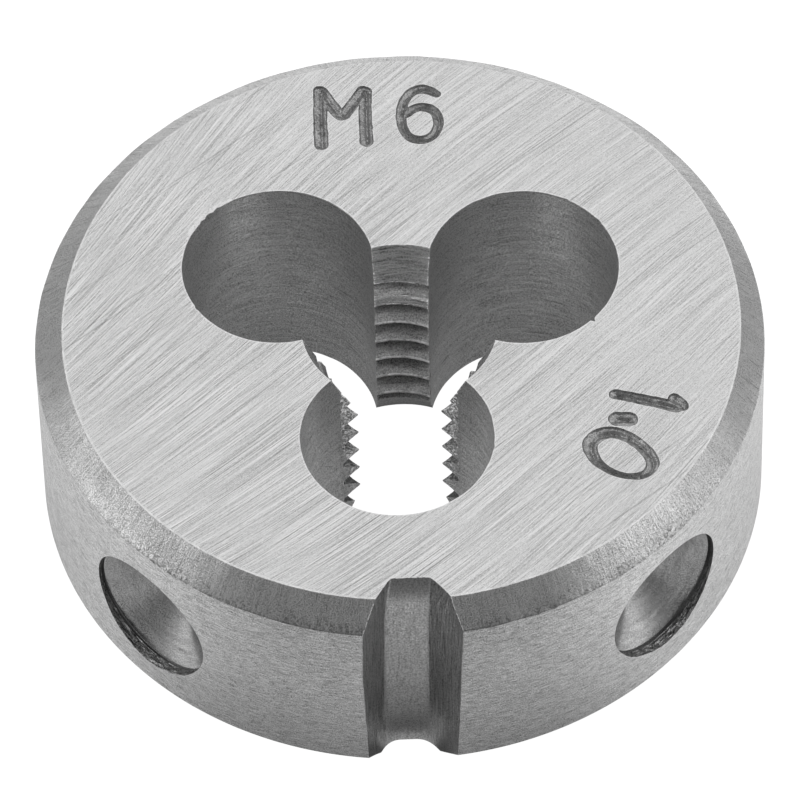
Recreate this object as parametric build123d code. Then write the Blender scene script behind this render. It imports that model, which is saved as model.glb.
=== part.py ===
from build123d import *
import math
import os

# Round threading die, in millimetres
# The axis of the bore is Z, the underside lies at z = 0 and the marked face is on top
# Angles run anticlockwise seen from above, with the retaining groove at -90 degrees

# Blank
outside_diameter = 25.0
thickness = 9.0
top_chamfer_width = 0.9
top_chamfer_height = 0.95
bottom_chamfer = 0.86

# Thread, an M6 coarse one with a right-hand helix
thread_diameter = 6.0
thread_pitch = 1.0
flank_angle = 60.0
# Depth from the full diameter to the tips of the teeth, and width of the flat at the root, as shares of the pitch
thread_depth_ratio = 0.6134
root_flat_ratio = 0.125
# Height of a tooth's crest above the underside, on the +X side
crest_height = 0.66

# Tapered lead at each end of the bore, its mouth given as the amount over the thread diameter
top_lead_excess = 0.76
top_lead_half_angle = 22.0
bottom_lead_excess = 0.56
bottom_lead_half_angle = 26.0

# Clearance holes that part the thread into lands, with the narrowest width of a land between two holes
clearance_count = 3
clearance_diameter = 6.56
land_neck = 1.85
# Turn of the front hole from the middle of the groove
clearance_turn = -2.7

# Retaining groove down the side
groove_angle = -90.0
groove_floor_width = 1.52
groove_depth = 1.43
groove_flank_angle = 68.0
groove_root_radius = 0.3
# Run-in where the groove deepens towards the marked face
run_in_height = 1.2
run_in_depth = 0.3

# Screw dimples, one each side of the groove, with their angle from it and their height over half height
left_dimple_angle = -46.0
left_dimple_rise = -0.16
right_dimple_angle = 45.0
right_dimple_rise = 0.15
dimple_diameter = 5.0
dimple_wall = 0.5
dimple_point_angle = 118.0

# Length by which a cutting shape passes the faces that it cuts
overrun = 1.0
# Arc of one tooth space, as a share of the angle from one clearance hole to the next
space_arc_share = 0.55
# Reach of a tooth space past the tips of the teeth, as a share of the pitch
space_reach_ratio = 0.1

outside_radius = outside_diameter / 2
thread_root_radius = thread_diameter / 2
thread_tip_radius = thread_root_radius - thread_depth_ratio * thread_pitch
clearance_step = 360 / clearance_count
clearance_centre_radius = (clearance_diameter + land_neck) / 2 / math.sin(math.radians(clearance_step / 2))
flank_slope = math.tan(math.radians(flank_angle / 2))


def blank():
    """Disc with both chamfers and a plain bore at the tips of the teeth."""
    points = [
        (thread_tip_radius, 0),
        (outside_radius - bottom_chamfer, 0),
        (outside_radius, bottom_chamfer),
        (outside_radius, thickness - top_chamfer_height),
        (outside_radius - top_chamfer_width, thickness),
        (thread_tip_radius, thickness),
    ]
    return revolve(Plane.XZ * make_face(Polyline(*points, close=True)), Axis.Z)


def tooth_space(arc):
    """Space between two teeth of a land, its section at z = 0 on the +X side and carried up the helix."""
    inner_radius = thread_tip_radius - space_reach_ratio * thread_pitch
    root_half = root_flat_ratio * thread_pitch / 2
    inner_half = root_half + (thread_root_radius - inner_radius) * flank_slope
    path = Helix(thread_pitch, thread_pitch * arc / 360, thread_root_radius)
    points = [
        (thread_root_radius, -root_half),
        (thread_root_radius, root_half),
        (inner_radius, inner_half),
        (inner_radius, -inner_half),
    ]
    profile = Plane.XZ * make_face(Polyline(*points, close=True))
    return sweep(profile, path=path, is_frenet=True)


def thread():
    """Tooth spaces of every land, all on one right-hand helix, from below the underside to above the top."""
    arc = space_arc_share * clearance_step
    space = tooth_space(arc)
    # The middle of a space lies half a pitch above a crest
    space_height = crest_height + thread_pitch / 2
    spaces = []
    for index in range(clearance_count):
        land_angle = groove_angle + clearance_turn + clearance_step / 2 + index * clearance_step
        start_angle = land_angle - arc / 2
        height = space_height + thread_pitch * start_angle / 360
        height -= (math.floor(height / thread_pitch) + 1) * thread_pitch
        while height < thickness + thread_pitch:
            spaces.append(Pos(0, 0, height) * Rot(0, 0, start_angle) * space)
            height += thread_pitch
    return spaces


def lead(excess, half_angle):
    """Cone of a lead, standing on z = 0 with its wide end down and a plug below it."""
    slope = math.tan(math.radians(half_angle))
    face_radius = thread_root_radius + excess / 2
    height = (face_radius - thread_tip_radius) / slope + overrun
    points = [
        (0, -overrun),
        (face_radius + overrun * slope, -overrun),
        (face_radius - height * slope, height),
        (0, height),
    ]
    return revolve(Plane.XZ * make_face(Polyline(*points, close=True)), Axis.Z)


def leads():
    """Both leads, the lower one at the underside and the upper one turned over at the marked face."""
    lower = lead(bottom_lead_excess, bottom_lead_half_angle)
    upper = Pos(0, 0, thickness) * Rot(180, 0, 0) * lead(top_lead_excess, top_lead_half_angle)
    return [lower, upper]


def clearance_holes():
    """Through holes spaced evenly about the axis."""
    holes = []
    for index in range(clearance_count):
        angle = groove_angle + clearance_turn + index * clearance_step
        hole = Cylinder(
            clearance_diameter / 2,
            thickness + 2 * overrun,
            align=(Align.CENTER, Align.CENTER, Align.MIN),
        )
        holes.append(Rot(0, 0, angle) * Pos(clearance_centre_radius, 0, -overrun) * hole)
    return holes


def groove_section():
    """Section of the groove in plan, cut into the +X side of the die, wider outwards."""
    slope = math.tan(math.radians(groove_flank_angle / 2))
    floor_x = outside_radius - groove_depth
    half_floor = groove_floor_width / 2
    half_outer = half_floor + (groove_depth + overrun) * slope
    outer_x = outside_radius + overrun
    points = [
        (floor_x, -half_floor),
        (outer_x, -half_outer),
        (outer_x, half_outer),
        (floor_x, half_floor),
    ]
    section = make_face(Polyline(*points, close=True))
    floor_corners = section.vertices().sort_by(Axis.X)[:2]
    return fillet(floor_corners, groove_root_radius)


def groove():
    """Groove carried up the side and then leant inwards along its run-in, one section with a mitre between."""
    floor_x = outside_radius - groove_depth
    lean = run_in_depth / run_in_height
    top_x = floor_x - lean * (run_in_height + overrun)
    path = Polyline(
        (floor_x, 0, -overrun),
        (floor_x, 0, thickness - run_in_height),
        (top_x, 0, thickness + overrun),
    )
    section = Pos(0, 0, -overrun) * groove_section()
    cutter = sweep(section, path=path, transition=Transition.RIGHT)
    return Rot(0, 0, groove_angle) * cutter


def dimple(angle, rise):
    """Drilled dimple at an angle from the groove, with a short wall and a drill point."""
    radius = dimple_diameter / 2
    point_depth = radius / math.tan(math.radians(dimple_point_angle / 2))
    points = [
        (0, -overrun),
        (radius, -overrun),
        (radius, dimple_wall),
        (0, dimple_wall + point_depth),
    ]
    drill = revolve(Plane.XZ * make_face(Polyline(*points, close=True)), Axis.Z)
    inward = Pos(outside_radius, 0, thickness / 2 + rise) * Rot(0, -90, 0) * drill
    return Rot(0, 0, groove_angle + angle) * inward


def dimples():
    """Dimples of the side screws, left and right of the groove."""
    left = dimple(left_dimple_angle, left_dimple_rise)
    right = dimple(right_dimple_angle, right_dimple_rise)
    return [left, right]


def round_die():
    """Whole die: the blank less its leads, clearance holes, thread, groove and dimples."""
    die = blank() - leads()
    die = die - clearance_holes()
    die = die - thread()
    die = die - groove()
    return die - dimples()


os.makedirs("parts", exist_ok=True)
export_step(round_die(), "parts/round_die.step")
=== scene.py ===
import bmesh
import bpy
import math
import time
import numpy as np
from mathutils import Matrix, Quaternion, Vector


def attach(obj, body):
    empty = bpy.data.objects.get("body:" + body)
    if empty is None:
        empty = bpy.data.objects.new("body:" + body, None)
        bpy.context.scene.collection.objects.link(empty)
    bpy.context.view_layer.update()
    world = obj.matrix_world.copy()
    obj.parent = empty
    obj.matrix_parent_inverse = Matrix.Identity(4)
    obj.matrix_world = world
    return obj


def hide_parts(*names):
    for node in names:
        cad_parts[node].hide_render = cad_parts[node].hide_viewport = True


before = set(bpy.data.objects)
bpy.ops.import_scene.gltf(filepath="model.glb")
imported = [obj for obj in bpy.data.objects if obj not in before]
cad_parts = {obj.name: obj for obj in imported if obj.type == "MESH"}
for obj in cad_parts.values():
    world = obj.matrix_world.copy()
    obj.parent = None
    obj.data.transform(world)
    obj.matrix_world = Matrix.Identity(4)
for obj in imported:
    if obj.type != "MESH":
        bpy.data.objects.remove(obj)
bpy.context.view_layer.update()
print("frame loaded")

# Shapes are worked out in millimetres in the frame of the CAD model and scaled to metres at the end.
# Angles run anticlockwise seen from above, in degrees, with the side groove at -90.
mm = 0.001
sampler = np.random.default_rng(7)

# One steel, finished in a different way on each kind of surface. The order gives each its material slot.
finishes = ["ground", "chamfer", "rim", "hole", "thread", "crest", "lead", "groove", "flank", "dimple",
            "dimpleWall", "stamp", "edge"]
slot = {name: number for number, name in enumerate(finishes)}


# Helpers for surfaces on a grid
def steps(*runs):
    # evenly spaced values over each (start, end, spacing) run, joined without repeating a shared end
    parts = [np.linspace(a, b, max(2, int(round(abs(b - a) / d)) + 1)) for a, b, d in runs]
    return np.concatenate([parts[0]] + [p[1:] for p in parts[1:]])


def ease(x, low, high):
    # 0 below low, 1 above high, 3t^2 - 2t^3 between
    t = np.clip((x - low) / (high - low), 0, 1)
    return t * t * (3 - 2 * t)


lattice = 32  # the random numbers repeat after so many steps
lumpTable = sampler.random((lattice, lattice, lattice)) * 2 - 1


def lumps(x, y, z=0.0, seed=0):
    # smooth value noise of -1 to 1: random numbers on a lattice of spacing 1, blended by 3t^2 - 2t^3
    p = np.stack(np.broadcast_arrays(x + 7.3 * seed, y + 3.1 * seed, z + 5.7 * seed)).astype(float)
    i = np.floor(p).astype(int)
    t = p - i
    t = t * t * (3 - 2 * t)
    total = np.zeros(p.shape[1:])
    for dx, dy, dz in np.ndindex(2, 2, 2):
        w = np.abs(1 - dx - t[0]) * np.abs(1 - dy - t[1]) * np.abs(1 - dz - t[2])
        total += w * lumpTable[(i[0] + dx) % lattice, (i[1] + dy) % lattice, (i[2] + dz) % lattice]
    return total


def addObject(name, data):
    made = bpy.data.objects.new(name, data)
    bpy.context.scene.collection.objects.link(made)
    return made


def makePiece(name, points, faces, zones):
    mesh = bpy.data.meshes.new(name)
    mesh.from_pydata(points.reshape(-1, 3), [], faces)
    mesh.polygons.foreach_set("material_index", np.asarray(zones, np.int32))
    mesh.update()
    return addObject(name, mesh)


def gridMesh(name, points, zones, ringed=False):
    # quads over a (rows, columns, 3) array of points whose columns close up. The rows close up too if ringed,
    # otherwise a polygon caps each end. zones holds the finish of each quad, or something that spreads to it
    rows, columns = points.shape[:2]
    index = np.arange(rows * columns).reshape(rows, columns)
    a, b = (index, np.roll(index, -1, 0)) if ringed else (index[:-1], index[1:])
    faces = np.stack([a, np.roll(a, -1, 1), np.roll(b, -1, 1), b], -1).reshape(-1, 4).tolist()
    zones = np.broadcast_to(zones, a.shape).ravel().tolist()
    if not ringed:
        faces += [index[0][::-1].tolist(), index[-1].tolist()]
        zones += zones[:1] + zones[-1:]
    return makePiece(name, points, faces, zones)


def polar(radius, angles, height):
    # points at a radius and height round the axis of the bore, angles in radians
    radius, angles, height = np.broadcast_arrays(radius, angles, height)
    return np.stack([radius * np.cos(angles), radius * np.sin(angles), height], -1)


def turned(points, degrees):
    # the points turned about the axis of the bore
    c, s = math.cos(math.radians(degrees)), math.sin(math.radians(degrees))
    x, y, z = points[..., 0], points[..., 1], points[..., 2]
    return np.stack([c * x - s * y, s * x + c * y, z], -1)


# The blank, turned, with a rough chamfer that the ground rim and face cut into
blank = {
    "radius": 12.5,
    "height": 9.0,
    "faceRadius": 11.597,  # inner circle of the top chamfer
    "faceShift": (0.0653, -0.0598),
    "chamferHeight": 0.955,
    "baseRadius": 11.64,
    "baseChamfer": 0.86,
    "coreRadius": 1.0,
    "faceRings": (9.0, 6.0),  # rows on the marked face, the last one on the underside too
    "edgeBreak": 0.03,
    "lip": 0.02,  # height of the rim's uppermost row below the chamfer
    "spacing": (0.22, 0.7),  # degrees between columns in front and behind
    "lumpRadius": 12.2,  # where the lumps of the chamfer are taken
    "wander": 0.040,  # slow wander of the chamfer's lower edge
    "chipped": 0.050,  # fine raggedness of that edge where it is torn
    "tearDepth": 0.004,  # roughness of the torn lower half of the chamfer
    "skin": 0.003,  # roughness of the rest of the chamfer
    "torn": [(-156, -121), (-78, -20)],  # angles between which it is torn
}


def makeBlank():
    # rows follow the turned profile: underside, bottom chamfer, rim, top chamfer, marked face, core.
    # With t = 0 at the chamfer's foot and 1 at the face, its rows rise by wander (1 - t)^5 + chips (1 - t)^16
    # and lumps of 0.3 and 0.12 mm move them along its normal, most in its lower half between the torn angles
    b = blank
    angles = steps((-165, -15, b["spacing"][0]), (-15, 195, b["spacing"][1]))[:-1]
    a = np.radians(angles)
    rows, zones = [], []

    def ring(scale, seed, z=0.0):
        c, s = b["lumpRadius"] * np.cos(a), b["lumpRadius"] * np.sin(a)
        return lumps(c * scale, s * scale, z, seed=seed)

    def add(radius, height, zone):
        rows.append(polar(radius, a, height))
        zones.append(slot[zone])

    signedAngles = (angles + 180) % 360 - 180
    torn = np.zeros(len(a))
    for low, high in b["torn"]:
        torn = np.maximum(torn, ease(signedAngles, low, low + 10) * (1 - ease(signedAngles, high - 10, high)))
    faceEdge = b["faceRadius"] + b["faceShift"][0] * np.cos(a) + b["faceShift"][1] * np.sin(a)
    faceEdge = faceEdge + 0.010 * ring(2, 2) + 0.004 * ring(8, 3)
    foot = b["height"] - b["chamferHeight"]
    wander = b["wander"] * ring(1.1, 4)
    chips = b["chipped"] * (0.25 + torn) * (0.4 * ring(4, 5) + 0.6 * ring(10, 8))
    lowEdge = foot + wander + chips
    add(b["coreRadius"], 0.0, "ground")
    add(b["faceRings"][-1], 0.0, "ground")
    add(b["baseRadius"] - b["edgeBreak"], 0.0, "edge")
    slope = (b["radius"] - b["baseRadius"]) / b["baseChamfer"]
    add(b["baseRadius"] + b["edgeBreak"] * 0.6 * slope, b["edgeBreak"] * 0.6, "chamfer")
    for t in (0.35, 0.65, 0.97):
        add(b["baseRadius"] + t * b["baseChamfer"] * slope, t * b["baseChamfer"], "chamfer")
    wallLow = b["baseChamfer"] + b["edgeBreak"]
    for t in (0, 0.2, 0.4, 0.6, 0.8, 0.94, 0.98):
        add(b["radius"], wallLow + (lowEdge - b["lip"] - wallLow) * t, "rim")
    add(b["radius"], lowEdge - b["lip"], "chamfer")
    for t in np.concatenate([[0.015, 0.035, 0.06], np.linspace(0.10, 0.985, 16)]):
        low = 1 - ease(t, 0.25, 0.65)
        rough = 0.7 * ring(3, 6, t * 4) + 0.3 * ring(8, 7, t * 11)
        rough = rough * (b["skin"] + b["tearDepth"] * torn * low)
        rough = rough * math.sin(math.pi * min(t + 0.02, 1)) ** 0.35
        ragged = wander * (1 - t) ** 5 + chips * (1 - t) ** 16
        radius = b["radius"] + (faceEdge - b["radius"]) * t + rough * 0.7
        height = foot + b["chamferHeight"] * t + ragged + rough * 0.7
        add(radius, height, "chamfer" if t < 0.97 else "edge")
    add(faceEdge - b["edgeBreak"], b["height"], "ground")
    for radius in (*b["faceRings"], b["coreRadius"]):
        add(radius, b["height"], "ground")
    return gridMesh("blank", np.stack(rows), np.array(zones)[:, None], ringed=True)


body = makeBlank()
print("blank:", len(body.data.polygons), "faces")
cutters = []

# Clearance holes
holes = {
    "count": 3,
    "radius": 3.28,
    "centreRadius": 4.8555,
    "turn": -2.7,
    "mouth": 0.018,
    "mouthHeight": 0.05,
    # rows, as runs of height and their spacing
    "rows": [(-0.6, 0.0, 0.6), (0.0, 0.05, 0.025), (0.05, 8.80, 0.9), (8.80, 8.95, 0.05), (8.95, 9.0, 0.025),
             (9.0, 9.6, 0.6)],
    # nicks in the upper edge: hole, angle in the frame of the die, half width in degrees, depth
    "nicks": [(2, 141, 1.5, 0.05), (2, 135, 2.5, 0.07), (2, 128, 2.0, 0.05), (2, 211, 1.6, 0.05),
              (2, 96, 1.2, 0.02), (1, -46, 1.4, 0.16), (1, 35, 3.0, 0.03), (1, 60, 2.0, 0.02),
              (1, 120, 4.0, 0.02), (0, -10, 2.5, 0.03)],
    "nickHeights": (8.80, 8.98),  # where a nick begins and is full
}


def holeAngle(number):
    return -90 + holes["turn"] + number * 360 / holes["count"]


def holeCentre(number):
    return tuple(turned(np.array([holes["centreRadius"], 0.0, 0.0]), holeAngle(number)))


def makeHole(number):
    # a tube of the hole's radius that flares by its nicks and at both faces, there to
    # radius + mouth (1 - e / mouthHeight)^2, e the distance to the nearer face
    h = holes
    angles = np.arange(0, 360, 1.5)
    height = steps(*h["rows"])
    edge = np.minimum(height, blank["height"] - height)
    a = np.radians(angles)
    centre = holeAngle(number)
    around = h["radius"] * np.cos(a) * 2.2, h["radius"] * np.sin(a) * 2.2
    uneven = 1 + 0.7 * lumps(*around, seed=30 + number)
    flare = h["mouth"] * np.clip(1 - edge / h["mouthHeight"], 0, 2.0)[:, None] ** 2 * uneven[None, :]
    for hole, at, half, depth in h["nicks"]:
        if hole == number:
            off = (angles + centre - at + 180) % 360 - 180
            shape = np.clip(1 - np.abs(off) / half, 0, 1) ** 0.7
            flare = flare + depth * shape[None, :] * ease(height, *h["nickHeights"])[:, None]
    points = polar(h["radius"] + flare, a, height[:, None]) + (h["centreRadius"], 0, 0)
    middle = (height[:-1] + height[1:]) / 2
    atFace = np.minimum(middle, blank["height"] - middle) < h["mouthHeight"]
    zones = np.where(atFace, slot["edge"], slot["hole"])
    return gridMesh("hole%d" % number, turned(points, centre), zones[:, None])


cutters += [makeHole(n) for n in range(holes["count"])]

# Thread and its leads
thread = {
    "tipRadius": 2.3866,
    "rootRadius": 3.0,
    "pitch": 1.0,
    "flankAngle": 30.0,
    "crest": 0.66,  # height of a crest at angle 0
    "crestFlat": 0.055,  # half width of a crest, in turns
    "ridge": (0.012, 0.03),  # height and width of the fine ridge along its middle
    "topMouth": 3.38,
    "topLead": 22.0,
    "baseMouth": 3.28,
    "baseLead": 26.0,
    "uneven": 0.004,
    "between": 2.7,  # plain radius where the rows close up inside the front hole
    "opening": (8, 24),  # degrees from there over which the thread begins
    "seam": 25,  # degrees on each side of there in which the climb of one turn is taken back
    # the crest's finish paints a highlight along the crests
    "crestFinish": 0.05,  # half width of the crest's finish, in turns
}


def makeThread():
    # radius over angle and height: the larger of the thread form and the two lead cones.
    # The thread form at u turns from a crest is tip + (|u| - crestFlat) / tan 30 up to the root
    t = thread
    start = holeAngle(0)
    spans = []
    for land in (60, 180, 300):
        spans += [(land - 60, land - 25, 7.0), (land - 25, land + 25, 1.6), (land + 25, land + 60, 7.0)]
    turn = steps(*spans)[:-1]
    a = np.radians(turn + start)
    low, high = t["seam"], 360 - t["seam"]
    climb = np.interp(turn, [0, low, high, 360], [0.5, low / 360, high / 360, 0.5])
    rise = steps((-1.5, 10.5, 1 / 22))
    rowHeight = rise[:, None] + (climb + start / 360)[None, :] * t["pitch"]
    u = np.mod(rise - t["crest"] + 0.5, 1.0) - 0.5  # 0 at a crest, +-0.5 at a root
    ridge, ridgeWidth = t["ridge"]
    form = np.clip(np.abs(u) - t["crestFlat"], 0, None) / math.tan(math.radians(t["flankAngle"]))
    form = t["tipRadius"] + form
    form = np.minimum(form, t["rootRadius"]) - ridge * np.exp(-(u / ridgeWidth) ** 2)
    radius = np.broadcast_to(form[:, None], rowHeight.shape).copy()
    topCone = t["topMouth"] - (blank["height"] - rowHeight) * math.tan(math.radians(t["topLead"]))
    baseCone = t["baseMouth"] - rowHeight * math.tan(math.radians(t["baseLead"]))
    # crests take the crest finish, a lighter tone that paints their highlight
    zones = np.where(np.abs(u)[:, None] < t["crestFinish"], slot["crest"], slot["thread"])
    zones = np.where(baseCone > radius, slot["thread"], zones)
    zones = np.where(topCone > radius, slot["lead"], zones)
    radius = np.maximum(radius, np.maximum(topCone, baseCone))
    radius += t["uneven"] * lumps(6 * np.cos(a), 6 * np.sin(a), rowHeight * 9, seed=12)
    blend = ease(np.minimum(turn, 360 - turn), *t["opening"])
    radius = t["between"] + (radius - t["between"]) * blend[None, :]
    rowHeight = np.clip(rowHeight, -0.7, 9.7) + rise[:, None] * 1e-4
    return gridMesh("threadSpace", polar(radius, a, rowHeight), zones[:-1])


cutters.append(makeThread())

# Side groove, with places given at a few heights
groove = {
    "heights": (0, 2, 5.5, 7.2, 8.3, 9),
    "floor": (-11.08, -11.07, -11.07, -11.07, -11.07, -11.07),
    "rootLeft": (-0.87, -1.00, -0.93, -0.90, -0.80, -0.66),
    "rootRight": (0.50, 0.53, 0.56, 0.57, 0.62, 0.68),
    "rimLeft": (-1.56, -1.60, -1.69, -1.68, -1.64, -1.63),
    "rimRight": (1.42, 1.51, 1.644, 1.712, 1.745, 1.76),
    "bulgeLeft": (0.0, 0.0, 0.0, 0.01, 0.02, 0.03),
    "bulgeRight": (0.0, 0.0, 0.02, 0.06, 0.11, 0.12),
    "rootRound": (0.42, 0.26, 0.12, 0.10, 0.10, 0.10),
    "rimY": -12.39,  # where the rim's places are given
    "outside": (0.5, -13.6),  # how far beyond them the cutter ends, and its y there
    "runIn": 0.30,  # how far the floor leans in at the top
    "runInHeight": 1.25,
    "wander": 0.012,
    "floorColumns": (12, 20),  # columns of the grid with the floor's finish
}


def makeGroove():
    # the section in plan, carried up the side: floor, roots rounded by quadratic curves, and flanks at
    # x = root + (rim - root) s + bulge 4 s (1 - s), s = 0 at the floor and 1 at the rim
    g = groove
    height = steps((-0.7, 7.2, 0.2), (7.2, 9.7, 0.1))

    def at(name):
        return np.interp(height, g["heights"], g[name])

    leaning = np.clip((height - (blank["height"] - g["runInHeight"])) / g["runInHeight"], 0, None)
    floor = at("floor") + g["runIn"] * leaning ** 2.2

    def side(name, seed):
        root, rim, bulge = at("root" + name), at("rim" + name), at("bulge" + name)
        away = np.sign(rim - root)
        low = at("rootRound")[:, None] * 0.85
        s = low + (1 - low) * np.linspace(0, 1, 9)[None, :]
        x = root[:, None] + (rim - root)[:, None] * s + (away * bulge)[:, None] * 4 * s * (1 - s)
        y = floor[:, None] - (floor - g["rimY"])[:, None] * s
        x = x + g["wander"] * lumps(height[:, None] * 1.3, s * 3, seed=seed)
        x = x + 0.4 * g["wander"] * lumps(height[:, None] * 5, s * 6, seed=seed + 1)
        bend = np.linspace(0, 1, 8)[None, :, None]
        start = np.stack([root - away * at("rootRound"), floor], -1)[:, None]
        middle = np.stack([root, floor], -1)[:, None]
        end = np.stack([x[:, 0], y[:, 0]], -1)[:, None]
        corner = start * (1 - bend) ** 2 + 2 * middle * bend * (1 - bend) + end * bend ** 2
        beyond, outY = g["outside"]
        out = np.stack([rim + away * beyond, np.full_like(rim, outY)], -1)[:, None]
        return np.concatenate([corner[:, :-1], np.stack([x, y], -1), out], 1)

    section = np.concatenate([side("Left", 50)[:, ::-1], side("Right", 53)], 1)
    points = np.concatenate([section, np.broadcast_to(height[:, None, None], section.shape[:2] + (1,))], -1)
    columns = np.arange(section.shape[1])
    first, last = g["floorColumns"]
    zones = np.where((columns >= first) & (columns <= last), slot["groove"], slot["flank"])
    return gridMesh("grooveSpace", points, zones)


cutters.append(makeGroove())

# Screw dimples
dimples = {
    "radius": 2.5,
    "wall": 0.5,
    "point": 118.0,
    "places": [(-136.0, 4.34), (-45.0, 4.65)],  # angle and height
    "wallRings": 0.009,
    "pointRings": 0.007,
    "torn": [(0.028, 11, 9, 44), (0.022, 24, 18, 46)],  # depth, lumps round and along the mouth, seed
}


def makeDimple(number):
    # a drill revolved about a line to the axis: wall, then a cone of the point angle, with turning rings, and
    # the wall's outer part torn along its lower side
    d = dimples
    angle, height = d["places"][number]
    turn = np.radians(np.arange(0, 360, 2.0))
    c, s = np.cos(turn), np.sin(turn)
    pointDepth = d["radius"] / math.tan(math.radians(d["point"] / 2))
    cone = d["wall"] + pointDepth * np.append(np.linspace(0.02, 0.97, 16), 1)
    run = np.concatenate([[-0.8], np.linspace(-0.3, d["wall"], 33), cone])
    onWall = run < d["wall"]
    plain = np.where(onWall, d["radius"], d["radius"] * (1 - (run - d["wall"]) / pointDepth))
    pointRings = d["pointRings"] * lumps(run * 10, 0.0, seed=42 + number)
    rings = np.where(onWall, d["wallRings"] * lumps(run * 16, 0.0, seed=40 + number), pointRings)
    radius = np.maximum(plain, 0.012) + rings * (plain > 0.1)
    torn = sum(depth * lumps(c * around, s * around, run[:, None] * along, seed=seed + number)
               for depth, around, along, seed in d["torn"])
    mouth = (run > -0.31) & (run < d["wall"] * 0.75)
    spread = radius[:, None] + torn * ease(-s, 0.2, 0.8) * mouth[:, None]
    inwards = np.broadcast_to(blank["radius"] - run[:, None], spread.shape)
    points = np.stack([inwards, -spread * c, height + spread * s], -1)
    zones = np.where(run[1:] <= 0.8 * d["wall"], slot["dimpleWall"], slot["dimple"])
    return gridMesh("dimple%d" % number, turned(points, angle), zones[:, None])


cutters += [makeDimple(n) for n in range(len(dimples["places"]))]

# The marks, V-shaped strokes stamped into the marked face, generic marks of the size of thread
# Each stroke is a list of x, y and half width along its centre line
marks = {
    "depth": 0.23,
    "grid": 0.028,
    "furrowShift": (0.055, 0.045),
    "furrowWidth": 0.24,
    "raised": 0.04,  # how far the tool rises beside a stroke, clear of the face
    "top": 9.5,
    "areas": [(-2.95, 2.15, 7.45, 10.70), (5.75, 9.95, -7.30, -2.95)],  # low x, high x, low y, high y
    "strokes": [
        [(-2.43, 10.28, 0.23), (-2.45, 9.1, 0.24), (-2.44, 7.89, 0.25)],
        [(-2.36, 10.24, 0.22), (-2.05, 9.65, 0.22), (-1.7, 9.16, 0.23), (-1.4, 9.5, 0.22),
         (-0.94, 10.22, 0.22)],
        [(-0.85, 10.18, 0.22), (-0.88, 9.1, 0.23), (-0.87, 7.96, 0.24)],
        [(1.62, 9.96, 0.16), (1.37, 10.13, 0.19), (1.11, 10.2, 0.2), (0.79, 10.1, 0.19),
         (0.56, 9.83, 0.19), (0.41, 9.45, 0.18), (0.36, 9.02, 0.18), (0.4, 8.56, 0.17), (0.56, 8.17, 0.17),
         (0.85, 7.97, 0.18), (1.18, 7.97, 0.18), (1.47, 8.17, 0.18), (1.64, 8.6, 0.18), (1.6, 9.02, 0.18),
         (1.41, 9.3, 0.19), (1.1, 9.4, 0.19), (0.8, 9.33, 0.18), (0.56, 9.1, 0.15)],
        [(7.23, -3.39, 0.21), (8.32, -3.71, 0.22), (9.3, -4.02, 0.24)],
        [(9.22, -3.66, 0.22), (9.44, -3.9, 0.22), (9.5, -4.0, 0.2)],
        [(7.22, -4.44, 0.29), (7.66, -4.47, 0.3)],
        [(6.28, -5.47, 0.27), (6.38, -6.02, 0.21), (6.66, -6.42, 0.15), (7.05, -6.71, 0.13),
         (7.57, -6.88, 0.12), (8.08, -6.8, 0.17), (8.35, -6.42, 0.23), (8.25, -5.97, 0.23),
         (7.96, -5.58, 0.22), (7.55, -5.21, 0.23), (7.05, -5.01, 0.24), (6.56, -5.12, 0.27),
         (6.28, -5.47, 0.27)],
    ],
}


def strokeLine(stroke, spacing=0.03):
    # a smooth line through the points, as Catmull-Rom cubics at even parameter steps, and its half widths
    p, widths = np.array(stroke)[:, :2], np.array(stroke)[:, 2]
    closed = len(p) > 2 and np.allclose(p[0], p[-1])
    before = p[-2] if closed else 2 * p[0] - p[1]
    after = p[1] if closed else 2 * p[-1] - p[-2]
    q = np.vstack([before, p, after])
    n = max(2, int(np.linalg.norm(np.diff(p, axis=0), axis=1).max() / spacing))
    t = np.linspace(0, 1, n, endpoint=False)[None, :, None]
    a, b, c, d = (q[i:len(q) - 3 + i][:, None] for i in range(4))
    line = 0.5 * (2 * b + (c - a) * t + (2 * a - 5 * b + 4 * c - d) * t**2 + (3 * b - a - 3 * c + d) * t**3)
    k = (np.arange(len(p) - 1)[:, None] + t[0, :, 0]).ravel()
    line = np.vstack([line.reshape(-1, 2), p[-1]])
    return line, np.interp(np.append(k, len(p) - 1), np.arange(len(p)), widths)


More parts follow.
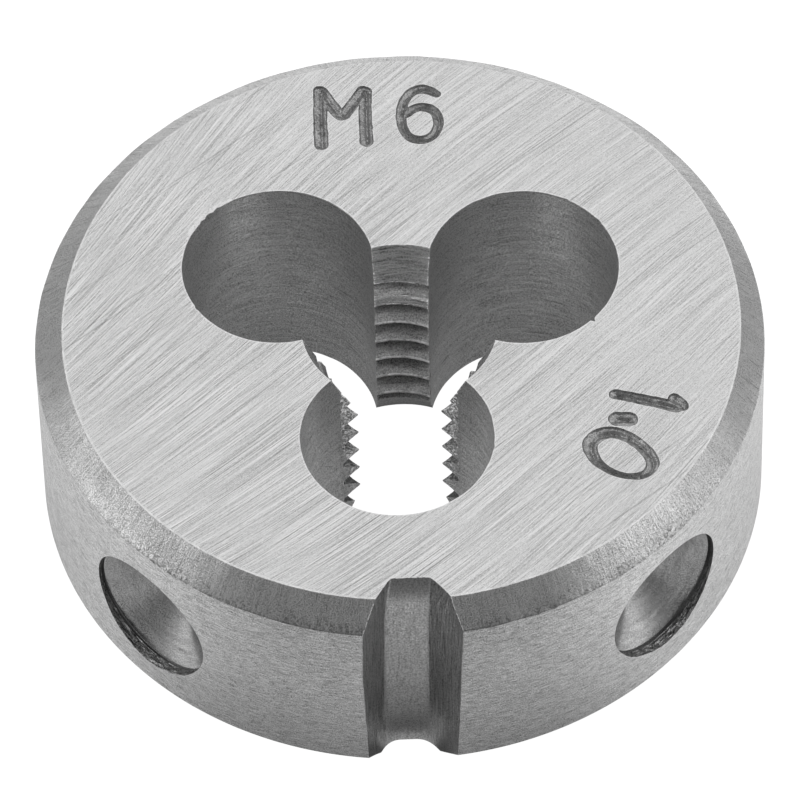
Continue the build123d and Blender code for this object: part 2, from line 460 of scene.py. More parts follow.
def makeStamp(number):
    # a slab over one area. Inside a stroke its lower side is 9 - depth (0.3 min(p / 0.15, 1) + 0.4 p
    # + 0.3 exp(-(f / furrowWidth)^2) min(p / 0.3, 1)), a steep side, a slope and a narrow furrow, and outside
    # it rises to 9 + raised. p is 1 less the distance from the centre line over the half width, made uneven
    # by small lumps, and f the distance from the line moved by furrowShift over the half width
    m = marks
    lowX, highX, lowY, highY = m["areas"][number]
    sides = steps((lowX, highX, m["grid"])), steps((lowY, highY, m["grid"]))
    x, y = np.meshgrid(*sides, indexing="ij")
    q, f = np.full(x.shape, 9.0), np.full(x.shape, 9.0)
    for stroke in m["strokes"]:
        line, half = strokeLine(stroke)
        low, high = line.min(0) - half.max() * 2.0, line.max(0) + half.max() * 2.0
        near = (x > low[0]) & (x < high[0]) & (y > low[1]) & (y < high[1])
        px, py = x[near][:, None], y[near][:, None]
        for field, shift in ((q, (0.0, 0.0)), (f, m["furrowShift"])):
            best = np.full(len(px), 9.0)
            for start in range(0, len(line), 64):  # in blocks, to keep the distance table small
                block = slice(start, start + 64)
                away = np.hypot(px - shift[0] - line[block, 0], py - shift[1] - line[block, 1])
                best = np.minimum(best, (away / half[block]).min(1))
            field[near] = np.minimum(field[near], best)
    q = q * (1 + 0.06 * lumps(x * 5, y * 5, seed=60) + 0.03 * lumps(x * 13, y * 13, seed=61))
    floor = 1 + 0.10 * lumps(x * 4, y * 4, seed=62)
    inside = np.clip(1 - q, 0, 1)
    furrow = 0.3 * np.exp(-(f / m["furrowWidth"]) ** 2) * np.minimum(inside / 0.3, 1)
    cut = m["depth"] * floor * (0.3 * np.minimum(inside / 0.15, 1) + 0.4 * inside + furrow)
    low = blank["height"] - cut * (1 + 0.12 * lumps(x * 11, y * 11, seed=63))
    low = low + np.clip((q - 1) * 0.2, 0, m["raised"])
    rows, columns = x.shape
    index = np.arange(rows * columns).reshape(rows, columns)
    quads = np.stack([index[:-1, :-1], index[1:, :-1], index[1:, 1:], index[:-1, 1:]], -1).reshape(-1, 4)
    rim = np.concatenate([index[0, :-1], index[:-1, -1], index[-1, :0:-1], index[:0:-1, 0]])
    bottom = np.stack([x, y, low], -1).reshape(-1, 3)
    top = bottom[rim] * (1, 1, 0) + (0, 0, m["top"])
    lid = rows * columns + np.arange(len(rim))
    sides = np.stack([rim, np.roll(rim, -1), np.roll(lid, -1), lid], -1)
    faces = quads.tolist() + sides.tolist() + [lid.tolist()]
    return makePiece("stamp%d" % number, np.vstack([bottom, top]), faces, [slot["stamp"]] * len(faces))


cutters += [makeStamp(n) for n in range(len(marks["areas"]))]
print("cutters:", [len(c.data.polygons) for c in cutters])


def closeUp(piece, merge=0.0):
    # merges near points, drops slivers and turns the faces outwards
    work = bmesh.new()
    work.from_mesh(piece.data)
    if merge:
        bmesh.ops.remove_doubles(work, verts=work.verts, dist=merge)
        bmesh.ops.dissolve_degenerate(work, dist=merge, edges=work.edges)
    bmesh.ops.recalc_face_normals(work, faces=work.faces)
    volume = work.calc_volume(signed=True)
    if volume < 0:
        bmesh.ops.reverse_faces(work, faces=work.faces)
    openEdges = sum(1 for e in work.edges if len(e.link_faces) != 2)
    work.to_mesh(piece.data)
    work.free()
    print(piece.name, "open edges", openEdges, "volume", round(volume, 3))


for piece in [body] + cutters:
    closeUp(piece)

started = time.time()
for piece in cutters:
    cut = body.modifiers.new(piece.name, "BOOLEAN")
    cut.operation = "DIFFERENCE"
    cut.solver = "EXACT"
    cut.material_mode = "INDEX"
    cut.object = piece


# Node helpers. A value is a number or the output of another node. Each helper works in the tree of its values
def setSocket(socket, value):
    if hasattr(value, "is_output"):
        socket.id_data.links.new(value, socket)
    else:
        socket.default_value = value


def feed(sockets, **values):
    # sets or links sockets by their names, given without spaces
    for socket in sockets:
        key = socket.name.replace(" ", "")
        if key in values:
            setSocket(socket, values[key])


def newNode(kind, *values):
    # with the values in its inputs, in their order
    tree = next(value.id_data for value in values if hasattr(value, "is_output"))
    node = tree.nodes.new("ShaderNode" + kind)
    for socket, value in zip(node.inputs, values):
        setSocket(socket, value)
    return node


def mathNode(operation, *values, clamp=False):
    node = newNode("Math", *values)
    node.operation = operation
    node.use_clamp = clamp
    return node.outputs[0]


def chain(operation):
    # a function that joins its values by one operation, from left to right
    def join(*values):
        total = values[0]
        for value in values[1:]:
            total = mathNode(operation, total, value)
        return total
    return join


times, plus, minus, most = chain("MULTIPLY"), chain("ADD"), chain("SUBTRACT"), chain("MAXIMUM")


def timesPlus(value, factor, more):
    return mathNode("MULTIPLY_ADD", value, factor, more)


def above(value, level, gain):
    # (value - level) gain, kept between 0 and 1
    return mathNode("MULTIPLY", minus(value, level), gain, clamp=True)


def vectorNode(operation, *values, scale=None):
    node = newNode("VectorMath", *values)
    node.operation = operation
    if scale is not None:
        setSocket(node.inputs["Scale"], scale)
    return node.outputs["Value" if operation in ("DOT_PRODUCT", "LENGTH", "DISTANCE") else "Vector"]


def flat(place):
    return vectorNode("MULTIPLY", place, (1, 1, 0))


def flatAway(place, centre):
    # distance from an upright line through the centre
    return vectorNode("LENGTH", flat(vectorNode("SUBTRACT", place, centre)))


def splitNode(vector):
    return newNode("SeparateXYZ", vector).outputs


def joinNode(*values):
    return newNode("CombineXYZ", *values).outputs[0]


def rangeNode(value, fromLow, fromHigh, toLow=0.0, toHigh=1.0):
    node = newNode("MapRange", value, fromLow, fromHigh, toLow, toHigh)
    node.interpolation_type = "SMOOTHSTEP"
    return node.outputs["Result"]


def fadeNode(value, full, end):
    # 1 below full, 0 above end
    return rangeNode(value, full, end, 1.0, 0.0)


def bandNode(value, start, full, fading, end, top=1.0):
    # 0 up to start, top from full to fading, 0 again from end
    return times(rangeNode(value, start, full, 0.0, top), fadeNode(value, fading, end))


def noiseNode(vector, scale, detail, roughness):
    node = newNode("TexNoise", vector)
    feed(node.inputs, Scale=scale, Detail=detail, Roughness=roughness)
    return node.outputs["Fac"]


def specksNode(place, scale, roughness, level, gain):
    # the part of a noise above a level
    return above(noiseNode(place, scale, 2.0, roughness), level, gain)


def newGroup(name, inputs, outputs):
    # inputs and outputs by name: the value of a number at the start, "Vector" or "Color"
    tree = bpy.data.node_groups.new(name, "ShaderNodeTree")
    for side, sockets in (("INPUT", inputs), ("OUTPUT", outputs)):
        for label, value in sockets.items():
            kind = value if isinstance(value, str) else "Float"
            socket = tree.interface.new_socket(label, in_out=side, socket_type="NodeSocket" + kind)
            if kind == "Float" and side == "INPUT":
                socket.default_value = value
    return tree, tree.nodes.new("NodeGroupInput").outputs, tree.nodes.new("NodeGroupOutput").inputs


def placeGroup(group, **values):
    node = newNode("Group", *values.values())
    node.node_tree = group
    feed(node.inputs, **values)
    return node.outputs


def makeScratches():
    # long fine lines: noise at two sizes gives a shade of about -1 to 1, peaks of two more single scratches
    tree, given, out = newGroup("scratches", {"Pattern": "Vector", "Bright Share": 0.1, "Dark Share": 0.1},
                                {"Shade": 0.0, "Bright": 0.0, "Dark": 0.0})
    pattern = given["Pattern"]
    fine = noiseNode(pattern, 1.0, 2.0, 0.6)
    wide = noiseNode(vectorNode("ADD", pattern, (13.1, 5.7, 3.3)), 0.45, 1.0, 0.6)
    total = plus(times(fine, 5.4), times(wide, 0.3))
    feed(out, Shade=minus(total, 2.85))
    for label, shift, size in (("Bright", (31.7, 8.1, 1.9), 0.7), ("Dark", (57.3, 2.9, 6.1), 0.8)):
        peaks = noiseNode(vectorNode("ADD", pattern, shift), size, 1.0, 0.5)
        level = minus(0.80, given[label + " Share"])
        tree.links.new(above(peaks, level, 14.0), out[label])
    return tree


def makeGrain():
    # fine even grain with small pits, and slow patches
    tree, given, out = newGroup("grain", {"Place": "Vector", "Size": 0.08},
                                {"Shade": 0.0, "Pits": 0.0, "Patch": 0.0})
    place = vectorNode("SCALE", given["Place"], scale=mathNode("DIVIDE", 1.0, given["Size"]))
    fine = noiseNode(place, 1.0, 2.0, 0.7)
    pits = rangeNode(noiseNode(place, 0.8, 1.0, 0.5), 0.72, 0.78)
    slow = noiseNode(given["Place"], 0.9, 2.0, 0.55)
    feed(out, Shade=times(minus(fine, 0.5), 4.5), Pits=pits,
         Patch=times(minus(slow, 0.5), 4.0))
    return tree


def makeEdgeWear():
    # a mask of the sharp edges, broken up by grain: how far the bevelled normal leaves the true one, or the
    # whole surface where All Over is 1, or the smears and painted glints given to it. It marks worn edges and
    # paints a highlight along them. Burrs stand up there, so Normal is tilted upwards by Lift times the mask
    tree, given, out = newGroup("edgeWear", {
        "Place": "Vector", "Width": 0.00004, "Evenness": 0.5, "All Over": 0.0, "Smear": 0.0, "Lift": 1.0,
    }, {"Mask": 0.0, "Normal": "Vector"})
    bevel = tree.nodes.new("ShaderNodeBevel")
    bevel.samples = 4
    tree.links.new(given["Width"], bevel.inputs["Radius"])
    normal = tree.nodes.new("ShaderNodeNewGeometry").outputs["Normal"]
    same = vectorNode("DOT_PRODUCT", bevel.outputs["Normal"], normal)
    edge = most(rangeNode(minus(1.0, same), 0.004, 0.06), given["All Over"])
    broken = above(plus(noiseNode(given["Place"], 11.0, 1.0, 0.6), given["Evenness"]), 0.5, 6.0)
    mask = most(times(edge, broken), given["Smear"])
    turn = tree.nodes.new("ShaderNodeVectorTransform")
    turn.vector_type, turn.convert_from, turn.convert_to = "VECTOR", "OBJECT", "WORLD"
    turn.inputs[0].default_value = (0, 0, 1)
    up = vectorNode("NORMALIZE", turn.outputs[0])
    facing = rangeNode(vectorNode("DOT_PRODUCT", normal, up), -0.6, -0.1)
    lift = vectorNode("SCALE", up, scale=times(mask, given["Lift"], facing))
    feed(out, Mask=mask, Normal=vectorNode("NORMALIZE", vectorNode("ADD", normal, lift)))
    return tree


def makeTone():
    # tone (1 + sum of shades), lifted towards 0.98 by bright marks, worn edges and painted highlights,
    # lowered by dark marks and painted shade, with the relief that a Bump node reads
    tree, given, out = newGroup("steelTone", {
        "Tone": 0.6, "Lines": 0.0, "Lines Amount": 0.05, "Grain": 0.0, "Grain Amount": 0.05, "Patch": 0.0,
        "Patch Amount": 0.03, "Bright": 0.0, "Bright Amount": 0.5, "Dark": 0.0, "Dark Amount": 0.5,
        "Roughness": 0.35, "Wear": 0.0, "Matt": 0.0,
    }, {"Color": "Color", "Roughness": 0.0, "Metallic": 0.0, "Relief": 0.0})
    lines, grain, patch = (times(given[n], given[n + " Amount"]) for n in ("Lines", "Grain", "Patch"))
    shade = plus(lines, grain, patch)
    bright = mathNode("MULTIPLY", given["Bright"], given["Bright Amount"], clamp=True)
    bright = most(bright, given["Wear"])
    dark = mathNode("MULTIPLY", given["Dark"], given["Dark Amount"], clamp=True)
    value = times(given["Tone"], plus(shade, 1.0))
    value = plus(value, times(bright, minus(0.98, value)))
    value = mathNode("MULTIPLY", value, minus(1.0, dark), clamp=True)
    # burrs scatter light all round, so worn edges are partly matt
    metal = mathNode("SUBTRACT", 1.0, times(given["Wear"], given["Matt"]), clamp=True)
    rough = plus(given["Roughness"], times(dark, 0.15))
    rough = mathNode("SUBTRACT", rough, times(shade, 0.25), clamp=True)
    relief = timesPlus(grain, 0.15, lines)
    relief = plus(relief, minus(times(bright, 0.3), times(dark, 0.5)))
    color = newNode("CombineColor", value, value, value).outputs[0]
    feed(out, Color=color, Roughness=rough, Metallic=metal, Relief=relief)
    return tree


scratches, grainGroup, edgeWear, steelTone = makeScratches(), makeGrain(), makeEdgeWear(), makeTone()

# Looks of each finish, where they aren't the usual ones: tone and roughness of the steel, then how much each
# pattern shows. width and length are those of one line, grain the size of the grain, relief the depth of both
# and edge the width of worn edges, all in millimetres. The wear number is how bright those are, as worn steel
# and a painted edge highlight, and even how little they are broken up, allOver the share of the whole surface
# that is so brightened, matt how far worn steel loses its metal gloss and lift how far burrs turn it upwards
usual = dict(rough=0.36, run="around", width=0.045, length=0.7, lines=0.18, grain=0.05,
             grainShow=0.55, patch=0.05, brightShare=0.1, bright=0.4, darkShare=0.14, dark=0.3, wear=1.0,
             even=0.1, matt=0.3, lift=3.0, edge=0.06, allOver=0.0, relief=0.0008)
looks = {
    "ground": dict(tone=0.758, rough=0.33, run="flow", width=0.033, length=5.0, lines=0.37,
        grain=0.032, grainShow=0.42, patch=0.015, brightShare=0.2, bright=0.55, darkShare=0.18, dark=0.28,
        wear=0.85, even=0.18, matt=0.0, lift=0.0, edge=0.1),
    "chamfer": dict(tone=0.735, rough=0.31, run="radial", grain=0.036, grainShow=0.75, patch=0.09,
        bright=0.45, darkShare=0.13, dark=0.45, matt=0.5, lift=1.0, relief=0.0002),
    "rim": dict(tone=0.697, rough=0.34, length=0.35, lines=0.27, grain=0.036, grainShow=0.62,
        brightShare=0.13, wear=0.5, matt=0.4, lift=0.6),
    "hole": dict(tone=0.755, width=0.08, length=1.0, lines=0.16, grainShow=0.58, patch=0.06,
        bright=0.35, darkShare=0.11, dark=0.4, wear=0.9, even=0.0, edge=0.09),
    "thread": dict(tone=0.4, rough=0.46, width=0.09, length=0.8, patch=0.04, darkShare=0.08,
        even=0.02, edge=0.09, relief=0.0012),
    # crest: a lighter tone, brightened all over, a painted highlight along the thread's crests on worn burrs
    "crest": dict(tone=0.62, rough=0.5, width=0.2, length=0.3, lines=0.25, grain=0.06,
        grainShow=0.3, brightShare=0.35, bright=0.6, darkShare=0.12, dark=0.4, wear=0.25, even=0.16,
        matt=0.7, lift=1.0, allOver=1.0, relief=0.0015),
    "lead": dict(tone=0.86, width=0.07, lines=0.45, grainShow=0.45, patch=0.08, brightShare=0.21,
        bright=0.7, darkShare=0.15, dark=0.45, wear=0.9, even=0.02, edge=0.09, relief=0.0012),
    "groove": dict(tone=0.615, rough=0.38, run="upright", width=0.07, length=0.9, lines=0.1,
        grainShow=0.5, patch=0.03, brightShare=0.07, bright=0.3, darkShare=0.09, wear=0.8, lift=2.0,
        relief=0.0006),
    "flank": dict(tone=0.43, rough=0.4, run="upright", width=0.07, length=1.3, lines=0.32,
        grain=0.058, patch=0.08, darkShare=0.11, dark=0.35, even=0.18, relief=0.0012),
    "dimple": dict(tone=0.517, rough=0.2, run="rings", width=0.1, length=1.0, lines=0.14,
        grain=0.04, grainShow=0.5, patch=0.06, brightShare=0.06, bright=0.3, darkShare=0.09, dark=0.42,
        wear=0.3, matt=0.0, lift=0.0, relief=0.00012),
    "dimpleWall": dict(tone=0.34, rough=0.4, run="rings", length=0.35, lines=0.45, grain=0.058,
        grainShow=1.2, patch=0.15, brightShare=0.2, bright=0.7, darkShare=0.15, dark=0.5, wear=0.5,
        even=0.05, matt=0.6, lift=1.0, relief=0.0012),
    "stamp": dict(tone=0.39, rough=0.38, width=0.25, length=0.25, lines=0.15, grain=0.038,
        grainShow=0.8, patch=0.08, bright=0.6, dark=0.4, wear=0.0, even=0.0, matt=0.0, lift=0.0,
        relief=0.001),
    "edge": dict(tone=0.85, rough=0.28, width=0.1, length=0.5, lines=0.15, grain=0.06,
        grainShow=0.2, bright=0.3, darkShare=0.1, wear=0.6, matt=0.4, lift=0.5),
}

# A grinding line of the marked face keeps one value of this sum of x^a y^b, x and y in centimetres
flow = {(1, 0): -0.587, (0, 1): 0.598, (2, 0): -0.003, (1, 1): 0.023, (0, 2): -0.049, (3, 0): -0.074,
        (2, 1): 0.109, (1, 2): 0.054, (0, 3): 0.002}


def dimpleFrame(place):
    # depth from the axis and distance along the rim, for both dimples at 45.5 degrees to each side of -y
    x, y, _ = splitNode(place)
    aside = mathNode("ABSOLUTE", x)
    depth = timesPlus(y, -0.70, times(aside, 0.713))
    return depth, timesPlus(y, 0.713, times(aside, 0.70))


def patternVector(place, run, width, length):
    # place in millimetres, made the vector that the scratches follow, one unit a line's width or length
    if run == "around":
        return vectorNode("MULTIPLY", place, (1 / length, 1 / length, 1 / width))
    if run == "upright":
        return vectorNode("MULTIPLY", place, (1 / width, 1 / width, 1 / length))
    if run == "rings":  # round the axes of the dimples
        parts = (*zip(dimpleFrame(place), (width, length)), (splitNode(place)["Z"], length))
        return joinNode(*(mathNode("DIVIDE", value, size) for value, size in parts))
    if run == "cross":
        return joinNode(vectorNode("DOT_PRODUCT", place, (-0.62 / width, 0.78 / width, 0)),
                        vectorNode("DOT_PRODUCT", place, (0.78 / length, 0.62 / length, 0)))
    if run == "radial":
        around = vectorNode("SCALE", vectorNode("NORMALIZE", flat(place)), scale=blank["lumpRadius"] / width)
        return vectorNode("ADD", around, vectorNode("MULTIPLY", place, (0, 0, 1 / length)))
    x, y, _ = splitNode(vectorNode("SCALE", place, scale=0.1))
    total = 0.0
    for (a, b), k in flow.items():
        term = times(*[x] * a, *[y] * b)
        total = timesPlus(term, k, total)
    return joinNode(times(total, 11.6 / width), times(plus(x, y), 7.1 / length))


# Bright fringe on the marked face, worn edges with a painted highlight along them, in millimetres
fringe = {
    "reach": (0.02, 0.07),  # distances from an edge where it fades
    "nicked": (-6.5, 4.8, 0.0),  # the nicked edge of the back left hole
    "nickedReach": (0.6, 1.6),  # distances from there over which its extra width ends
    "nickedWidth": 0.28,
}


def fringeHighlight(place):
    # a painted highlight with some wear, beside the face's outer edge and the edges of the holes, from the
    # distance to each circle, broken up, and wider beside the nicked edge
    circles = [(holeCentre(n), holes["radius"] + holes["mouth"], 1.0) for n in range(holes["count"])]
    circles += [((*blank["faceShift"], 0.0), blank["faceRadius"], -1.0)]
    nicked = vectorNode("DISTANCE", flat(place), fringe["nicked"])
    extra = rangeNode(nicked, *fringe["nickedReach"], fringe["nickedWidth"], 0.0)
    extra = times(extra, noiseNode(place, 6.0, 2.0, 0.7))
    total = 0.0
    for centre, radius, side in circles:
        beyond = times(minus(flatAway(place, centre), radius), side)
        if side > 0:
            beyond = minus(beyond, extra)
        total = most(total, fadeNode(beyond, *fringe["reach"]))
    return times(total, specksNode(place, 8.0, 0.6, 0.34, 5.0))


# Torn steel on the chamfer, with a painted shadow under its burred lower edge, in millimetres. Each mark has
# the distances to either side, or for the dull patch the values of x, where it begins, is full, fades and
# ends, and the heights over which it changes. Numbers below 1 at the end of a row are its strength
tearsAndShadow = {
    "front": (-2.5, -4.0),  # y where the torn front begins and is full
    "waver": 0.9,  # how far noise moves the heights up and down
    "pale": (5.8, 7.6, 11.0, 12.0, 0.45),
    "paleHeights": (8.30, 8.48),
    # ragged pits and the painted shadow under the chamfer's burred lower edge
    "pits": (0.8, 1.8, 9.0, 11.0),
    "pitHeights": (8.14, 8.40),
    "specks": (6.0, 8.0, 0.0, 0.7),
    "dull": (-10.9, -10.2, -8.4, -6.8),
    "dullHeights": (8.15, 8.50, 0.0, 0.45),
}


def tornPatchesAndShadow(place):
    # pale torn steel on the lower part of the chamfer at the front left and right, ragged pits along its edge
    # in front that also paint the shadow under the burred edge, dark specks at the front left and right and a
    # dull patch above the pale steel on the left
    t = tearsAndShadow
    x, y, z = splitNode(place)
    aside = mathNode("ABSOLUTE", x)
    front = rangeNode(y, *t["front"])
    height = minus(noiseNode(place, 1.8, 2.0, 0.6), 0.5)
    height = timesPlus(height, t["waver"], z)
    pale = times(bandNode(aside, *t["pale"]), front, fadeNode(height, *t["paleHeights"]))
    pale = times(pale, specksNode(place, 14.0, 0.7, 0.45, 4.0))
    pits = times(bandNode(aside, *t["pits"]), front, fadeNode(height, *t["pitHeights"]))
    pits = times(pits, specksNode(place, 10.0, 0.6, 0.48, 9.0))
    specks = times(specksNode(place, 13.0, 0.7, 0.56, 8.0), front)
    specks = times(specks, rangeNode(aside, *t["specks"]))
    dull = times(bandNode(x, *t["dull"]), front, rangeNode(height, *t["dullHeights"]))
    return pale, most(pits, specks, dull)


def paintedDimpleShade(place):
    # painted shade that grows across each dimple, from the groove's side to the other, to 0.86 on the left
    # and 1.05 on the right
    along = dimpleFrame(place)[1]
    share = rangeNode(splitNode(place)["X"], -5.0, 5.0, 0.86, 1.05)
    return times(rangeNode(along, -0.9, 0.5), share)


# Torn steel beside the teeth, with painted glints that brighten towards the mouth, in millimetres
tornSpecksAndGlints = {
    "wallReach": (2.70, 3.20),  # distances from the axis where it fades on the walls of the holes
    "toothReach": (0.20, 0.42),  # distances from the front hole where it fades on the teeth
    # painted light: the bright specks grow towards the mouth, where the light falls in
    "heights": (1.0, 6.5, 0.35, 1.0),  # over which the bright specks grow from 0.35 to 1
    "level": 0.49,
}


def toothSpecksAndGlints(place, onWall):
    # on the walls of the holes or on the flanks of the teeth: bright specks of torn steel and painted glints,
    # where a noise is above its level, brighter upwards as painted light, with dark gaps between them
    t = tornSpecksAndGlints
    near = t["wallReach"] if onWall else [holes["radius"] + reach for reach in t["toothReach"]]
    zone = fadeNode(flatAway(place, (0, 0, 0) if onWall else holeCentre(0)), *near)
    specks = noiseNode(place, 12.0, 2.0, 0.75)
    bright = times(above(specks, t["level"], 7.0), rangeNode(splitNode(place)["Z"], *t["heights"]))
    return times(zone, bright), times(zone, above(t["level"], specks, 7.0))


def paintedLitEnds(place):
    # painted light: the lower ends of the groove's flanks lightened as if lit by the white table, up to 1.1
    # mm high on the left and 3 mm on the right
    x, _, z = splitNode(place)
    end = mathNode("DIVIDE", z, rangeNode(x, -1.0, 1.0, 1.1, 3.0))
    return rangeNode(end, 0.1, 1.0, 0.8, 0.0)


def makeSteel(name):
    s = dict(usual, **looks[name])
    steel = bpy.data.materials.new(name + "Steel")
    steel.use_nodes = True
    tree = steel.node_tree
    shader = tree.nodes["Principled BSDF"]
    place = vectorNode("SCALE", tree.nodes.new("ShaderNodeTexCoord").outputs["Object"], scale=1000.0)

    def scratched(run, width, length):
        return placeGroup(scratches, Pattern=patternVector(place, run, width, length),
                          BrightShare=s["brightShare"], DarkShare=s["darkShare"])

    lines = scratched(s["run"], s["width"], s["length"])
    grain = placeGroup(grainGroup, Place=place, Size=s["grain"])
    shade, smearAndGlint = lines["Shade"], 0.0
    bright, dark = [lines["Bright"]], [lines["Dark"], grain["Pits"]]  # marks of each kind
    if name == "ground":
        # coarser at the left front, with a second, sparser set of scratches that crosses the first
        # a bright fringe of worn edges with a painted highlight along the face's edges
        smearAndGlint = fringeHighlight(place)
        coarse = vectorNode("DOT_PRODUCT", place, (0.8, 0.6, 0))
        shade = times(shade, rangeNode(coarse, -9.0, 7.0, 1.15, 0.62))
        more = scratched("cross", 0.042, 7.0)
        bright.append(more["Bright"])
        dark.append(more["Dark"])
    if name in ("hole", "thread", "lead"):
        # torn specks with painted glints, brighter higher up as painted light
        smearAndGlint, gaps = toothSpecksAndGlints(place, name == "hole")
        dark.append(gaps)
    if name == "flank":
        # painted light on the lower ends of the flanks, as if lit by the white table
        bright.append(paintedLitEnds(place))
    if name == "dimple":
        # painted shade across the dimple's cone
        dark.append(paintedDimpleShade(place))
    if name == "chamfer":
        torn, pits = tornPatchesAndShadow(place)
        bright.append(torn)
        dark.append(pits)
    # worn edges with a painted highlight along them
    edge = placeGroup(edgeWear, Place=place, Width=s["edge"] * mm, Evenness=s["even"], AllOver=s["allOver"],
                      Smear=smearAndGlint, Lift=s["lift"])
    tone = placeGroup(steelTone, Tone=s["tone"], Lines=shade, LinesAmount=s["lines"], Grain=grain["Shade"],
                      GrainAmount=s["grainShow"], Patch=grain["Patch"], PatchAmount=s["patch"],
                      Bright=most(*bright), BrightAmount=s["bright"], Dark=most(*dark),
                      DarkAmount=s["dark"], Roughness=s["rough"], Wear=times(edge["Mask"], s["wear"]),
                      Matt=s["matt"])
    bump = tree.nodes.new("ShaderNodeBump")
    feed(bump.inputs, Distance=s["relief"] * mm / 0.1, Height=tone["Relief"], Normal=edge["Normal"])
    feed(shader.inputs, BaseColor=tone["Color"], Roughness=tone["Roughness"], Metallic=tone["Metallic"],
         Normal=bump.outputs["Normal"])
    return steel


steels = [makeSteel(name) for name in finishes]
for piece in [body] + cutters:
    for steel in steels:
        piece.data.materials.append(steel)

whole = bpy.data.meshes.new_from_object(body.evaluated_get(bpy.context.evaluated_depsgraph_get()))
print("cut in", round(time.time() - started, 1), "s,", len(whole.polygons), "faces")
die = addObject("roundDie", whole)
for piece in [body] + cutters:
    bpy.data.objects.remove(piece)
closeUp(die, merge=0.0005)
whole.transform(Matrix.Scale(mm, 4))


def shadeSmooth(mesh, limit):
    # smooth apart from edges sharper than the limit or between two finishes
    mesh.polygons.foreach_set("use_smooth", np.ones(len(mesh.polygons), bool))
    mesh.set_sharp_from_angle(angle=math.radians(limit))
    work = bmesh.new()
    work.from_mesh(mesh)
    for e in work.edges:
        if len(e.link_faces) == 2 and e.link_faces[0].material_index != e.link_faces[1].material_index:
            e.smooth = False
    work.to_mesh(mesh)
    work.free()


shadeSmooth(whole, 28)
whole.calc_loop_triangles()
inUse = np.bincount([p.material_index for p in whole.polygons], minlength=len(finishes))
print("finishes in use:", inUse.tolist(), "triangles:", len(whole.loop_triangles))

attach(die, "root")
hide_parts("round_die")

# Camera
view = {
    "place": (-2.3813, -191.369, 258.5682),
    "back": (-0.007353, -0.601784, 0.798625),
    "roll": -1.487,
    "lens": 414.14,
}
camera = addObject("camera", bpy.data.cameras.new("camera"))
camera.data.lens = view["lens"]
camera.data.sensor_width = 36
camera.data.clip_start = 0.01
camera.data.clip_end = 20
camera.location = Vector(view["place"]) * mm
camera.rotation_mode = "QUATERNION"
aimed = Vector(view["back"]).to_track_quat("Z", "Y")
camera.rotation_quaternion = aimed @ Quaternion((0, 0, 1), math.radians(view["roll"]))
bpy.context.scene.camera = camera

# Light
studio = {
    "bright": 1.0,  # the room overhead, behind and at the sides
    "horizon": 0.22,  # share of that at the horizon
    "rise": (-0.02, 0.42),  # z of the directions where the room begins to brighten and is full
    "dark": 0.25,  # the dark wall of the room, where the camera stands
    "darkAim": (-0.070, -0.998, 0.0),
    "darkReach": (0.51, 0.67),  # cosines of the angles from darkAim, seen from above
    "darkTop": (0.80, 0.98),  # z of the directions where it ends
    "panel": 0.35,  # extra light from a pale panel low at each side
    "panelAims": [(-0.95, 0.03, 0.24), (0.95, -0.13, 0.24)],
    "panelReach": (0.89, 0.98),  # cosines of the angles from their aims
}


def paintWorld():
    s = studio
    world = bpy.data.worlds.new("studio")
    bpy.context.scene.world = world
    world.use_nodes = True
    tree = world.node_tree
    tree.nodes.clear()
    place = tree.nodes.new("ShaderNodeTexCoord").outputs["Generated"]
    z = splitNode(place)["Z"]
    up = rangeNode(z, *s["rise"], s["horizon"], 1.0)
    level = vectorNode("NORMALIZE", flat(place))
    toDark = vectorNode("DOT_PRODUCT", level, tuple(Vector(s["darkAim"]).normalized()))
    dark = times(rangeNode(toDark, *s["darkReach"]), fadeNode(z, *s["darkTop"]))
    light = timesPlus(dark, s["dark"] - s["bright"], s["bright"])
    light = times(light, up)
    for aim in s["panelAims"]:
        toPanel = vectorNode("DOT_PRODUCT", place, tuple(Vector(aim).normalized()))
        light = plus(light, rangeNode(toPanel, *s["panelReach"], 0.0, s["panel"]))
    path = tree.nodes.new("ShaderNodeLightPath")
    room = tree.nodes.new("ShaderNodeBackground")
    feed(room.inputs, Strength=most(light, path.outputs["Is Camera Ray"]))
    tree.links.new(room.outputs[0], tree.nodes.new("ShaderNodeOutputWorld").inputs[0])


# Floor, with a white glow for the camera, and a glow for reflections by where they fall. A pair of distances
# says where a change begins and is full. They are from the middle of the underside, in metres
glow = {
    "colour": 0.24,
    "seen": 0.98,  # for the camera, and 1 under the die
    "seenFrom": (0.0118, 0.0124),
    "inHoles": (0.31, 0.152, 0.118),  # under the die: in the middle, 4 mm and 8 mm from it
    "ringStep": (0.0008, 0.0042),
    "outerStep": (0.0048, 0.0078),
    "holesEnd": (0.0105, 0.0118),
    "outside": (0.0120, 0.0126),
    "inFront": 0.43,  # near the die, in front of it
    "frontFrom": (0.0115, 0.0190, 0.28, 1.0),  # rising from 0.28 of that
    "frontEnd": (0.018, 0.026),
    "frontAim": (0.06, 0.998, 0.0),  # points to the back
    "frontReach": (-0.985, -0.55),  # cosines of the angles from frontAim where the front ends
    "atSides": 0.68,  # and at its sides and behind it
    "sidesFrom": (0.0115, 0.0180, 0.75, 1.0),  # rising from 0.75 of that
    "farSides": 0.19,  # at the sides and behind, far from the die
    "farPanels": 0.30,  # and more of it under the panels
    "panelReach": (-0.74, -0.60, 0.05, 0.50),  # y of the directions where they begin, are full, fade and end
    "farFrom": (0.022, 0.042),
    "rightMore": 0.08,  # extra share on the right, as much less on the left
    "inGroove": (0.27, 0.02),  # in the groove, along its floor and outside of that
    "grooveFrom": (0.0108, 0.0111),
    "grooveStep": (0.0113, 0.0116),
    "grooveReach": (-0.992, -0.986),  # y of the directions of the groove
}


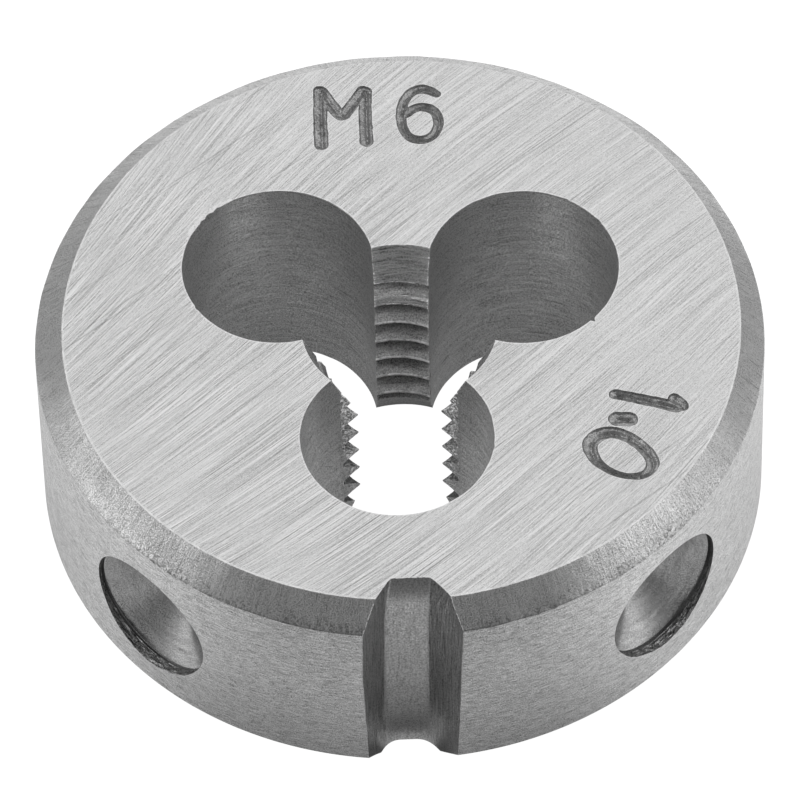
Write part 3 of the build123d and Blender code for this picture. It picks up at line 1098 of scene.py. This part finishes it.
def paintFloor(material):
    g = glow
    tree = material.node_tree
    shader = tree.nodes["Principled BSDF"]
    place = tree.nodes.new("ShaderNodeTexCoord").outputs["Object"]
    away = vectorNode("LENGTH", place)

    def ramp(name, *levels):
        return rangeNode(away, *g[name], *levels)

    towards = vectorNode("NORMALIZE", place)
    x, y, _ = splitNode(towards)
    path = tree.nodes.new("ShaderNodeLightPath").outputs
    seen = times(ramp("seenFrom", 1.0, g["seen"]), path["Is Camera Ray"])
    middle, ring, outer = g["inHoles"]
    inside = plus(ramp("ringStep", middle, ring), ramp("outerStep", 0.0, outer - ring))
    inside = times(inside, fadeNode(away, *g["holesEnd"]))
    front = times(ramp("frontEnd", g["inFront"], 0.0), ramp("frontFrom"))
    far = timesPlus(bandNode(y, *g["panelReach"]), g["farPanels"], g["farSides"])
    farther = ramp("farFrom")
    sides = plus(times(minus(1.0, farther), g["atSides"]), times(farther, far))
    sides = times(sides, ramp("sidesFrom"), timesPlus(x, g["rightMore"], 1.0))
    toSides = rangeNode(vectorNode("DOT_PRODUCT", towards, g["frontAim"]), *g["frontReach"])
    near = plus(times(sides, toSides), times(front, minus(1.0, toSides)))
    cutIn = times(bandNode(away, *g["grooveFrom"], *g["outside"]), fadeNode(y, *g["grooveReach"]),
                  ramp("grooveStep", *g["inGroove"]))
    mirrored = plus(inside, cutIn, times(near, ramp("outside")))
    strength = plus(seen, times(mirrored, path["Is Glossy Ray"]))
    feed(shader.inputs, BaseColor=(g["colour"],) * 3 + (1,), Roughness=0.9, SpecularIORLevel=0.0,
         EmissionColor=(1, 1, 1, 1), EmissionStrength=strength)


floorMesh = bpy.data.meshes.new("floor")
floorMesh.from_pydata([(-1, -1, 0), (1, -1, 0), (1, 1, 0), (-1, 1, 0)], [], [(0, 1, 2, 3)])
floor = addObject("floor", floorMesh)
floorPaint = bpy.data.materials.new("paleFloor")
floorPaint.use_nodes = True
floorMesh.materials.append(floorPaint)
paintFloor(floorPaint)
paintWorld()
print("camera, floor and light placed")

bpy.context.scene.view_settings.view_transform = "Standard"
